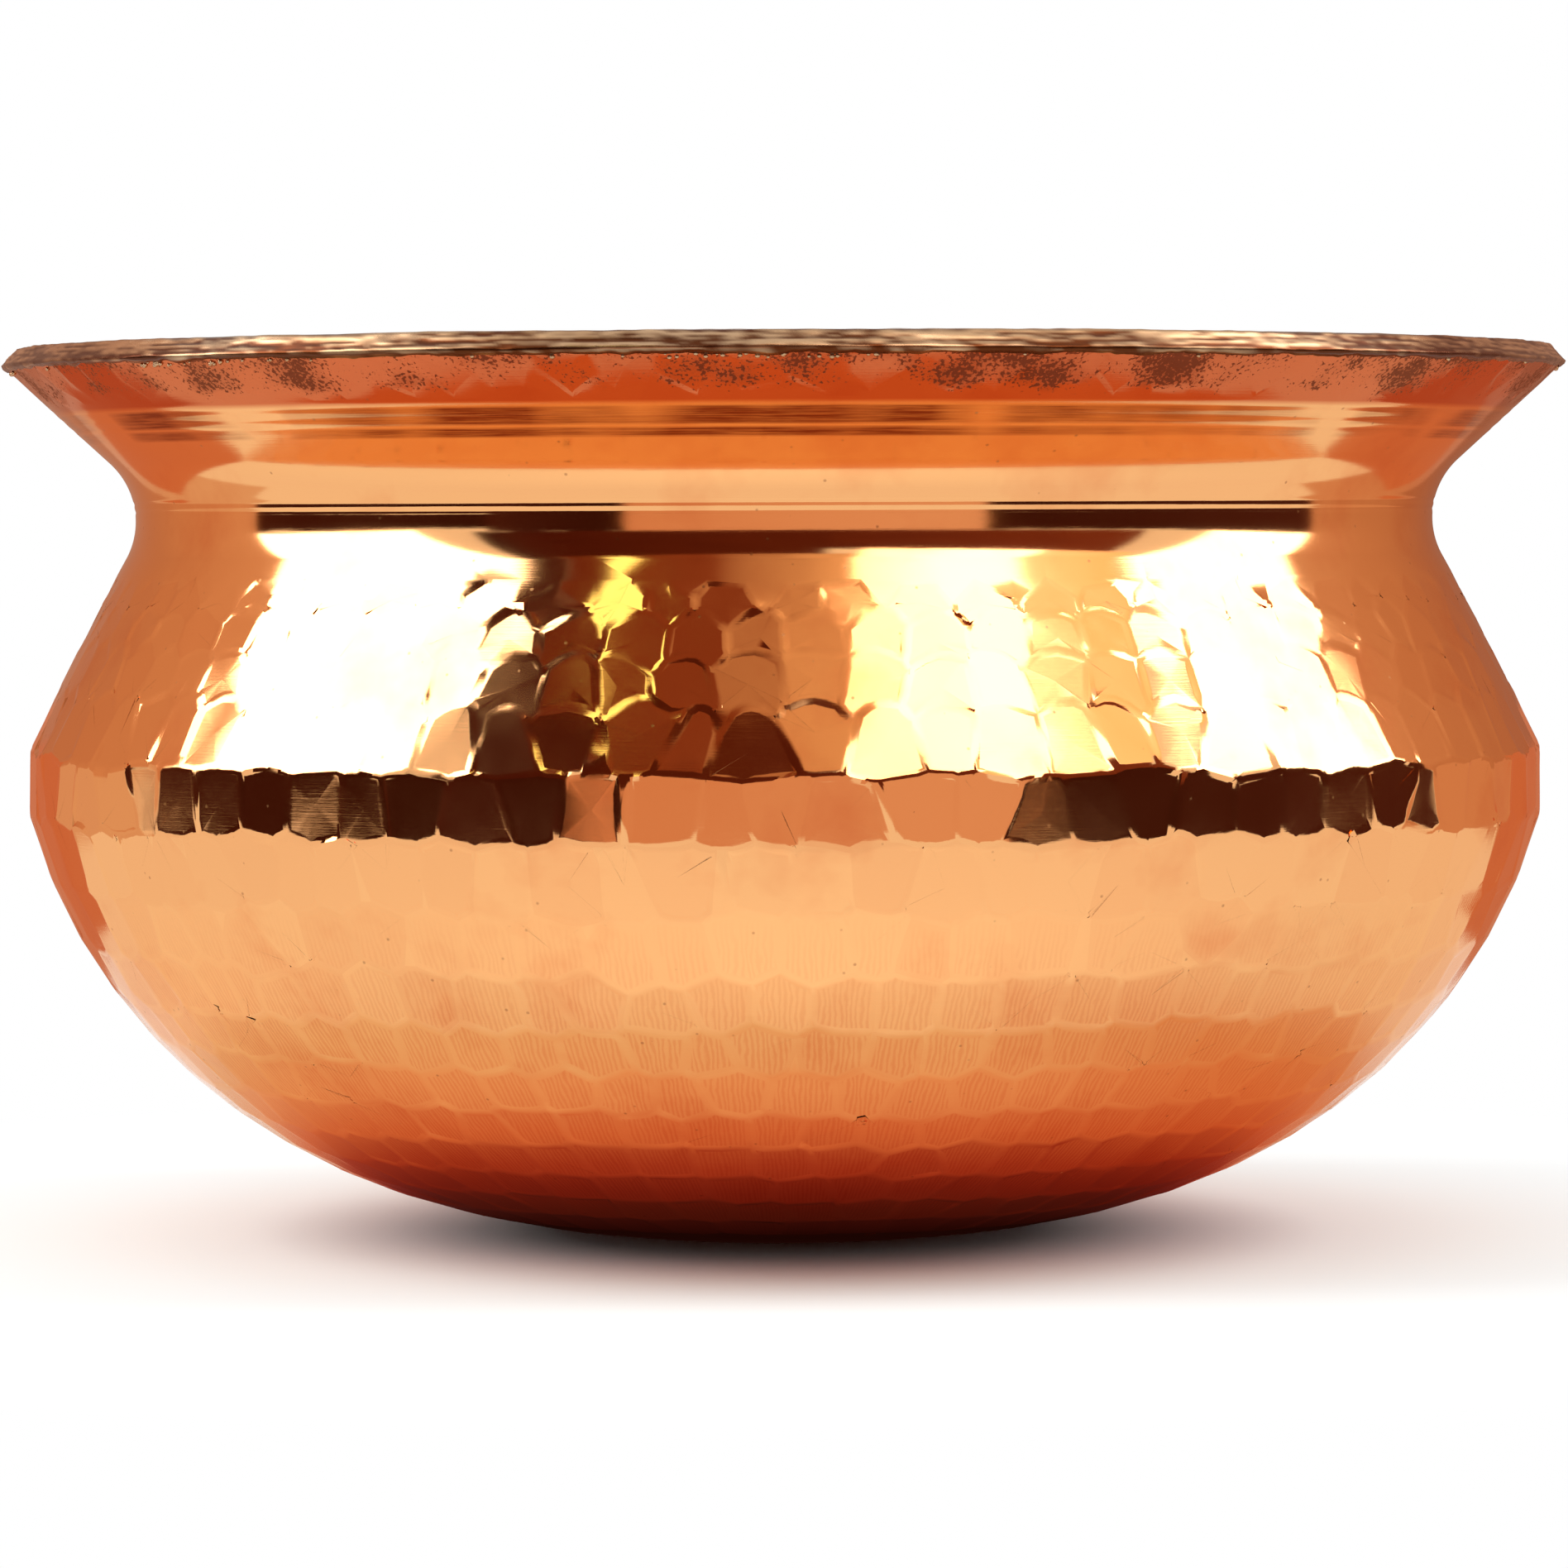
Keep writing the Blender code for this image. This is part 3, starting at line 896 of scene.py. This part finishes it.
    def build(self) -> bpy.types.Object:
        """Build and dress the wall.

        Returns:
            The finished object.
        """
        wall = spin_profile(self.profile(), 1, self.columns)
        wall.faces.layers.int.new("mark")
        self.planish(wall)
        self.round_marks(wall)
        bmesh.ops.recalc_face_normals(wall, faces=wall.faces)
        for face in wall.faces:
            face.smooth = True
        for edge in wall.edges:
            edge.smooth = edge.calc_face_angle(0.0) < self.sharp_crease
        marks = wall.faces.layers.int["mark"]
        tones = wall.faces.layers.float.new("tone")
        known = {number: random.Random(number).random() for number in {face[marks] for face in wall.faces}}
        for face in wall.faces:
            face[tones] = known[face[marks]] if face[marks] else 0.0
        unroll(wall, self.outline.belly_radius, 0.0)
        return new_object("dressed_copper_shell", wall, self.finish.material(self.outline))


@dataclass
class TinLining:
    """The wiped tin coat: a thin skin inside the pot that rolls over the lip in a lumpy band."""

    outline: PotOutline
    finish: WipedTin = field(default_factory=WipedTin)
    columns: int = 1296
    sectors: int = 18
    gap: float = 0.0003
    coat: float = 0.0004
    roll: float = 0.0007
    lip_build_up: float = 0.0008
    lip_reach: float = 0.004
    edge_round: float = 0.0006
    nose_out: float = 0.0001
    bulge_out: float = 0.0003
    bulge_up: float = 0.0002
    foot: float = 0.0005
    foot_out: float = 0.0002
    foot_bite: float = 0.0003
    seat_start: float = 0.0004
    lump: float = 0.00016
    run_size: float = 0.012
    fine_size: float = 0.003
    drip: float = 0.0006
    drip_size: float = 0.005
    droplet_size: float = 0.0016
    beads: int = 90
    bead_sizes: tuple[float, float] = (0.00022, 0.00046)
    bead_drops: tuple[float, float] = (0.0007, 0.0016)
    bead_clusters: tuple[float, ...] = (math.radians(-46.0), math.radians(-3.0))
    bead_spread: float = math.radians(4.0)
    seed: int = 5
    node: str = "tin_lining"

    def place(self, along: float, deep: float) -> Vector:
        """Give a point by its way past the lip's outer edge along the flare and its depth in the wall."""
        return self.outline.lip_edge() + self.outline.flare_way() * along + self.outline.flare_in() * deep

    def lip_line(self) -> list[Vector]:
        """Give the rolled lip.

        Returns:
            Points from the inside of the flare, over the top and down to the foot outside.
        """
        inner = self.outline.lip_thickness + self.lip_build_up + self.roll
        crest = self.place(self.roll, inner - self.edge_round)
        nose = self.place(self.roll, -self.nose_out)
        face = [crest.lerp(nose, step / 8.0) for step in range(9)]
        start = self.place(self.roll - self.edge_round, inner)
        bulge = self.place(self.bulge_up, -self.bulge_out)
        foot = [self.place(-self.foot, -self.foot_out), self.place(-self.foot, self.foot_bite)]
        return [self.place(-self.lip_reach, inner), start] + face + [bulge] + foot

    def profile(self) -> list[Vector]:
        """Give the closed profile of the coat.

        Returns:
            Points from the axis inside round to the axis against the copper.
        """
        face = self.outline.inside(self.outline.sheet + self.gap + self.coat)[::-1]
        back = self.outline.inside(self.outline.sheet + self.gap)
        line = [Vector((0.0, face[0].y))] + face + self.lip_line()
        line.append(self.place(self.gap, self.seat_start))
        line.append(self.place(self.gap, self.outline.lip_thickness + self.gap))
        return line + back + [Vector((0.0, back[-1].y))]

    def make_lumps(self, coat: bmesh.types.BMesh, first: int, last: int) -> None:
        """Push the rolled lip about as tin sets in drips and runs, and note its hollows and the painted shade
        towards its lower edge.

        Args:
            coat: The coat.
            first: First ring of the lip.
            last: Last ring of the lip.
        """
        rings = coat.verts.layers.int["ring"]
        flux_and_painted_shade = coat.verts.layers.float.new("flux_and_painted_shade")
        coat.normal_update()
        shifts = []
        for vert in coat.verts:
            if not first <= vert[rings] <= last:
                continue
            level = float(vert[rings])
            run = noise.noise(Vector((vert.co.x / self.run_size, vert.co.y / self.run_size, level / 1.2)))
            fine = noise.noise(Vector((vert.co.x / self.fine_size, vert.co.y / self.fine_size, level + 7.0)))
            height = run + 0.6 * fine
            edge = (vert[rings] - first) / (last - first)
            # Flux in the hollows, plus painted shade that grows towards the lip's lower edge.
            vert[flux_and_painted_shade] = min(1.0, max(0.0, 0.40 - 1.7 * height + 1.1 * edge ** 2))
            shift = vert.normal * self.lump * height
            if vert[rings] >= last - 2:
                wave = noise.noise(Vector((vert.co.x / self.drip_size, vert.co.y / self.drip_size, 3.0)))
                wave += 0.5 * noise.noise(
                    Vector((vert.co.x / self.droplet_size, vert.co.y / self.droplet_size, 5.0)))
                down = self.outline.flare_way() * -self.drip * max(wave, -0.6)
                out = Vector((vert.co.x, vert.co.y, 0.0)).normalized()
                shift += out * down.x + Vector((0.0, 0.0, down.y))
            shifts.append((vert, shift))
        for vert, shift in shifts:
            vert.co += shift

    def add_beads(self, coat: bmesh.types.BMesh) -> None:
        """Hang small beads of tin under the lip, half of them in two clusters at the front.

        Args:
            coat: The coat, to which the beads are added.
        """
        rng = random.Random(self.seed)
        drops = bmesh.new()
        for number in range(self.beads):
            group = number % 4
            if group < len(self.bead_clusters):
                turn = rng.gauss(self.bead_clusters[group], self.bead_spread)
            else:
                turn = rng.uniform(-math.pi, math.pi)
            size = rng.uniform(*self.bead_sizes)
            spot = self.place(-rng.uniform(*self.bead_drops), 0.0001)
            middle = Vector((math.sin(turn) * spot.x, -math.cos(turn) * spot.x, spot.y))
            bmesh.ops.create_icosphere(drops, subdivisions=2, radius=size, matrix=Matrix.Translation(middle))
        mesh = bpy.data.meshes.new("tin_beads")
        drops.to_mesh(mesh)
        drops.free()
        coat.from_mesh(mesh)
        bpy.data.meshes.remove(mesh)

    def build(self) -> bpy.types.Object:
        """Build and dress the coat.

        Returns:
            The finished object.
        """
        coat = spin_profile(self.profile(), self.sectors, self.columns // self.sectors)
        first = 1 + len(self.outline.inside(0.0)) + 1
        last = first + len(self.lip_line()) - 2
        self.make_lumps(coat, first, last)
        self.add_beads(coat)
        bmesh.ops.recalc_face_normals(coat, faces=coat.faces)
        for face in coat.faces:
            face.smooth = True
        unroll(coat, self.outline.lip_radius, 1.0)
        return new_object("dressed_tin_lining", coat, self.finish.material(self.outline))


@dataclass(frozen=True)
class Card:
    """A curved studio card, placed by the angles at which the pot sees it."""

    name: str
    azimuth: tuple[float, float]
    elevation: tuple[float, float]
    distance: float
    colour: str
    far_colour: str
    strength: float = 1.0
    mottle: float = 0.6
    ragged: float = 0.0
    cloud_size: float = 250.0 * MM
    fold_size: float = 71.43 * MM
    rows: int = 8
    columns: int = 24
    lowest: float = 0.002

    def sheet(self, eye: float) -> bmesh.types.BMesh:
        """Bend the card round the pot.

        Args:
            eye: Height from which the angles are measured.

        Returns:
            The card's mesh.
        """
        card = bmesh.new()
        start, end = (math.radians(angle) for angle in self.azimuth)
        low, high = (math.radians(angle) for angle in self.elevation)
        line = []
        for step in range(self.rows + 1):
            lift = low + (high - low) * step / self.rows
            reach = self.distance * math.cos(lift)
            rise = max(self.lowest, eye + self.distance * math.sin(lift))
            line.append(card.verts.new((math.sin(start) * reach, -math.cos(start) * reach, rise)))
        edges = [card.edges.new(pair) for pair in zip(line, line[1:])]
        bmesh.ops.spin(
            card, geom=line + edges, axis=(0.0, 0.0, 1.0), cent=(0.0, 0.0, 0.0), angle=end - start,
            steps=self.columns, use_merge=False, use_normal_flip=False, use_duplicate=False)
        bmesh.ops.remove_doubles(card, verts=card.verts, dist=SAME_POINT)
        return card

    def material(self, eye: float) -> bpy.types.Material:
        """Build the glow, which turns from one colour to the other along the card.

        Args:
            eye: Height from which the angles are measured.

        Returns:
            The material.
        """
        start, end = (math.radians(angle) for angle in self.azimuth)
        top = eye + self.distance * math.sin(math.radians(self.elevation[1]))
        material = new_material(self.name)
        tree = material.node_tree
        spot = add_node(tree, "TexCoord", {}).outputs["Object"]
        parts = add_node(tree, "SeparateXYZ", {0: spot}).outputs
        ahead = add_node(tree, "Math", {0: parts["Y"], 1: -1.0}, operation="MULTIPLY").outputs[0]
        turn = add_node(tree, "Math", {0: parts["X"], 1: ahead}, operation="ARCTAN2").outputs[0]
        whole = math.tau if start > math.pi else 0.0
        share = add_node(
            tree, "MapRange", {0: turn, 1: start - whole, 2: end - whole, 3: -0.15, 4: 0.85},
            clamp=False).outputs[0]
        cloud = add_node(
            tree, "TexNoise", {"Vector": spot, "Scale": 1.0 / self.cloud_size, "Detail": 2.0}).outputs[0]
        mottled = add_node(
            tree, "Math", {0: cloud, 1: self.mottle, 2: share}, operation="MULTIPLY_ADD",
            use_clamp=True).outputs[0]
        colour = add_node(
            tree, "Mix", {0: mottled, 6: linear(self.colour), 7: linear(self.far_colour)},
            data_type="RGBA").outputs[2]
        glow = add_node(tree, "Emission", {"Color": colour, "Strength": self.strength}).outputs[0]
        # The upper edge hangs in uneven folds.
        fold = add_node(
            tree, "TexNoise", {"Vector": spot, "Scale": 1.0 / self.fold_size, "Detail": 3.0}).outputs[0]
        hang = add_node(
            tree, "Math", {0: fold, 1: self.ragged, 2: parts["Z"]}, operation="MULTIPLY_ADD").outputs[0]
        above = add_node(tree, "Math", {0: hang, 1: top}, operation="GREATER_THAN").outputs[0]
        clear = add_node(tree, "BsdfTransparent", {}).outputs[0]
        hung = add_node(tree, "MixShader", {0: above, 1: glow, 2: clear}).outputs[0]
        add_node(tree, "OutputMaterial", {0: hung if self.ragged else glow})
        return material

    def build(self, eye: float) -> bpy.types.Object:
        """Build the card, which shows only in reflections.

        Args:
            eye: Height from which the angles are measured.

        Returns:
            The finished object.
        """
        thing = new_object(self.name, self.sheet(eye), self.material(eye))
        only_reflected(thing)
        return thing


@dataclass
class Studio:
    """A pale floor, a painted shadow under the pot, two soft lamps, a few cards that show in the metal, and
    the camera.
    """

    eye: float = 0.095
    camera_spot: tuple[float, float, float] = (0.0, -1.11, 0.118)
    camera_pitch: float = math.radians(2.319)
    camera_roll: float = math.radians(0.2)
    lens: float = 155.13
    sensor: float = 36.0
    lamp_glow: float = 5.0
    ambient: float = 0.85
    floor_colour: str = "#E6ECED"
    floor_size: float = 8.0
    floor_fade: tuple[float, float] = (0.10, 0.25)
    # Painted shadow: a disc that the copper's underside reflects in place of the floor's shade under the pot.
    painted_shadow_radius: float = 0.145
    painted_shadow_lift: float = 0.0003
    painted_shadow_fade: float = 0.78
    painted_shadow_right_span: tuple[float, float] = (0.03, 0.09)
    painted_shadow_right_tint: str = "#F0CBB8"
    painted_shadow_shades: tuple[tuple[float, str], ...] = (
        (0.045, "#1C0805"), (0.1417, "#F5F1EA"), (0.059, "#4F1F1C"), (0.0677, "#782C27"), (0.0772, "#A84C3D"),
        (0.0876, "#DA8C6E"), (0.1007, "#F0C6AA"), (0.1176, "#F4E6D2"))

    def lamp(
            self, name: str, azimuth: float, elevation: float, distance: float, wide: float,
            tall: float) -> None:
        """Hang one soft lamp that faces the pot.

        Args:
            name: Name of the lamp.
            azimuth: Degrees to the right of the camera's side.
            elevation: Degrees above the pot's middle.
            distance: Metres from the pot.
            wide: Width in metres.
            tall: Height in metres.
        """
        data = bpy.data.lights.new(name, "AREA")
        data.shape = "RECTANGLE"
        data.size, data.size_y = wide, tall
        data.energy = self.lamp_glow * math.pi * wide * tall
        turn, lift = math.radians(azimuth), math.radians(elevation)
        way = Vector((math.sin(turn) * math.cos(lift), -math.cos(turn) * math.cos(lift), math.sin(lift)))
        thing = bpy.data.objects.new(name, data)
        thing.location = way * distance + Vector((0.0, 0.0, self.eye))
        thing.rotation_euler = way.to_track_quat("Z", "Y").to_euler()
        bpy.context.scene.collection.objects.link(thing)

    def rays(self, tree: bpy.types.NodeTree) -> bpy.types.NodeSocket:
        """Tell the rays that show the surroundings from those that only light.

        Args:
            tree: Node tree that gets the nodes.

        Returns:
            A socket that is 1 for rays from the camera, from metal and through glass, and 0 for the rest.
        """
        path = add_node(tree, "LightPath", {}).outputs
        shown = add_node(
            tree, "Math", {0: path["Is Camera Ray"], 1: path["Is Glossy Ray"]},
            operation="MAXIMUM").outputs[0]
        return add_node(
            tree, "Math", {0: shown, 1: path["Is Transmission Ray"]}, operation="MAXIMUM").outputs[0]

    def floor(self) -> None:
        """Lay the pale floor, which runs out to white a little way from the pot."""
        body = bmesh.new()
        bmesh.ops.create_grid(body, x_segments=1, y_segments=1, size=self.floor_size)
        # Matt paper takes a soft shadow and reflects nothing.
        material = new_material("pale_matt_floor")
        tree = material.node_tree
        spot = add_node(tree, "TexCoord", {}).outputs["Object"]
        away = add_node(tree, "VectorMath", {0: spot}, operation="LENGTH").outputs["Value"]
        near, far = self.floor_fade
        fade = add_node(
            tree, "MapRange", {0: away, 1: near, 2: far, 3: 0.0, 4: 1.0},
            interpolation_type="SMOOTHSTEP").outputs[0]
        share = add_node(tree, "Math", {0: fade, 1: self.rays(tree)}, operation="MULTIPLY").outputs[0]
        paper = add_node(tree, "BsdfDiffuse", {"Color": linear(self.floor_colour)}).outputs[0]
        white = add_node(tree, "Emission", {"Color": WHITE, "Strength": 1.0}).outputs[0]
        mixed = add_node(tree, "MixShader", {0: share, 1: paper, 2: white}).outputs[0]
        add_node(tree, "OutputMaterial", {0: mixed})
        new_object("floor", body, material)

    def world(self) -> None:
        """Set the white surroundings, which light the floor a little less than they show."""
        world = bpy.data.worlds.new("white_surround")
        world.use_nodes = True
        tree = world.node_tree
        tree.nodes.clear()
        strength = add_node(
            tree, "MapRange", {0: self.rays(tree), 1: 0.0, 2: 1.0, 3: self.ambient, 4: 1.0}).outputs[0]
        light = add_node(tree, "Background", {"Color": WHITE, "Strength": strength}).outputs[0]
        add_node(tree, "OutputWorld", {0: light})
        bpy.context.scene.world = world

    def cards(self) -> list[Card]:
        """List the cards that the polished wall reflects.

        Returns:
            The curtains and walls, the ceiling, and the cards behind the pot.
        """
        return [
            Card("dark_curtain_left", (-100.0, -48.0), (-6.0, 11.5), 0.62, "#4A2620", "#36180F", ragged=0.05),
            Card("dark_curtain_ahead", (-48.0, -25.0), (-8.0, 14.0), 0.62, "#4A2620", "#36180F", ragged=0.03),
            Card("dark_curtain_right", (32.0, 100.0), (-8.0, 14.0), 0.62, "#36180F", "#4A2620", ragged=0.04),
            Card("salmon_card", (-25.0, 32.0), (-8.0, 13.0), 0.62, "#DDA88E", "#E9C0AC"),
            Card("dark_wall_left", (-46.0, 8.0), (13.0, 44.0), 1.8, "#43190F", "#5A281A"),
            Card("dark_wall_right", (8.0, 64.0), (13.0, 37.0), 1.8, "#5A281A", "#7A3E2B"),
            Card("brown_ceiling", (-46.0, -14.0), (44.0, 72.0), 2.0, "#632A1B", "#8A4A30"),
            Card("tan_ceiling", (-14.0, 15.0), (44.0, 72.0), 2.0, "#8A4A30", "#F0C9A4"),
            Card("softbox_edge", (-54.0, -46.0), (13.0, 72.0), 1.9, "#2E120B", "#471D12"),
            Card("pale_window", (-37.0, -31.0), (46.0, 62.0), 1.9, "#E8FFB4", "#F2FFB0", 2.6),
            Card("cream_ceiling", (15.0, 50.0), (37.0, 72.0), 2.0, "#EBCDB0", "#FFFFFF", 5.0, mottle=1.1),
            Card("tan_wall_right", (50.0, 70.0), (37.0, 72.0), 2.0, "#FFEEDC", "#F2CFAA", 1.8),
            Card("brown_wall_right", (88.0, 172.0), (-4.0, 42.0), 0.30, "#DDB097", "#A06A50"),
            Card("brown_wall_left", (188.0, 272.0), (-4.0, 42.0), 0.30, "#A06A50", "#DDB097"),
            Card("red_card_right", (102.0, 135.0), (-23.2, -1.5), 0.19, "#D89172", "#D08864"),
            Card("red_card_left", (225.0, 258.0), (-23.2, -1.5), 0.19, "#D08864", "#D89172"),
            Card("tan_skirt_right", (91.0, 172.0), (-17.0, -4.0), 0.30, "#E2B8A0", "#CC9880"),
            Card("tan_skirt_left", (188.0, 269.0), (-17.0, -4.0), 0.30, "#D6AA94", "#E8CDBC"),
        ]

    def painted_shadow_material(self) -> bpy.types.Material:
        """Build the painted shadow's glow, dark under the pot and pale towards its edge.

        Returns:
            The material.
        """
        material = new_material("painted_shadow_disc")
        tree = material.node_tree
        spot = add_node(tree, "TexCoord", {}).outputs["Object"]
        away = add_node(tree, "VectorMath", {0: spot}, operation="LENGTH").outputs["Value"]
        along = add_node(tree, "Math", {0: away, 1: self.painted_shadow_radius}, operation="DIVIDE").outputs[0]
        # Painted shadow: darkest under the middle of the pot and pale towards the edge.
        shade = add_node(tree, "ValToRGB", {0: along})
        stops = shade.color_ramp.elements
        for number, (reach, colour) in enumerate(self.painted_shadow_shades):
            stop = stops[number] if number < 2 else stops.new(reach / self.painted_shadow_radius)
            stop.position = reach / self.painted_shadow_radius
            stop.color = linear(colour)
        fade = add_node(
            tree, "MapRange", {0: along, 1: self.painted_shadow_fade, 2: 1.0, 3: 1.0, 4: 0.0},
            interpolation_type="SMOOTHSTEP").outputs[0]
        # The painted shadow is darker on the right.
        right = add_node(tree, "SeparateXYZ", {0: spot}).outputs["X"]
        start, end = self.painted_shadow_right_span
        turned = add_node(tree, "MapRange", {0: right, 1: start, 2: end, 3: 0.0, 4: 1.0}).outputs[0]
        shaded = add_node(
            tree, "Mix", {0: turned, 6: shade.outputs[0], 7: linear(self.painted_shadow_right_tint)}, data_type="RGBA",
            blend_type="MULTIPLY").outputs[2]
        clear = add_node(tree, "BsdfTransparent", {}).outputs[0]
        dark = add_node(tree, "Emission", {"Color": shaded, "Strength": 1.0}).outputs[0]
        mixed = add_node(tree, "MixShader", {0: fade, 1: clear, 2: dark}).outputs[0]
        add_node(tree, "OutputMaterial", {0: mixed})
        return material

    def lay_painted_shadow(self) -> None:
        """Lay a round disc of painted shadow under the pot, which shows only in the reflections in its
        underside.
        """
        body = bmesh.new()
        bmesh.ops.create_circle(body, cap_ends=True, segments=64, radius=self.painted_shadow_radius)
        bmesh.ops.translate(body, verts=body.verts, vec=(0.0, 0.0, self.painted_shadow_lift))
        thing = new_object("painted_shadow_disc", body, self.painted_shadow_material())
        only_reflected(thing)

    def camera(self) -> None:
        """Stand the camera where the photo was taken from."""
        data = bpy.data.cameras.new("camera")
        data.lens = self.lens
        data.sensor_width = self.sensor
        thing = bpy.data.objects.new("camera", data)
        thing.location = self.camera_spot
        thing.rotation_euler = (math.pi / 2.0 - self.camera_pitch, self.camera_roll, 0.0)
        bpy.context.scene.collection.objects.link(thing)
        bpy.context.scene.camera = thing

    def build(self) -> None:
        """Set up the whole studio."""
        self.floor()
        self.lay_painted_shadow()
        self.world()
        for card in self.cards():
            card.build(self.eye)
        self.lamp("left_softbox", -84.0, 34.0, 1.6, 1.15, 1.36)
        self.lamp("right_softbox", 93.0, 35.0, 1.6, 0.90, 1.3)
        self.camera()
        view = bpy.context.scene.view_settings
        view.view_transform = "Standard"


def main() -> None:
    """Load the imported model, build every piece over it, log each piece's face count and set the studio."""
    logging.basicConfig(level=logging.INFO, format="%(message)s")
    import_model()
    outline = PotOutline()
    for part in (CopperShell(outline), TinLining(outline)):
        thing = part.build()
        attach(thing, "root")
        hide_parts(part.node)
        LOG.info("%s: %d faces", thing.name, len(thing.data.polygons))
    Studio().build()


if __name__ == "__main__":
    main()
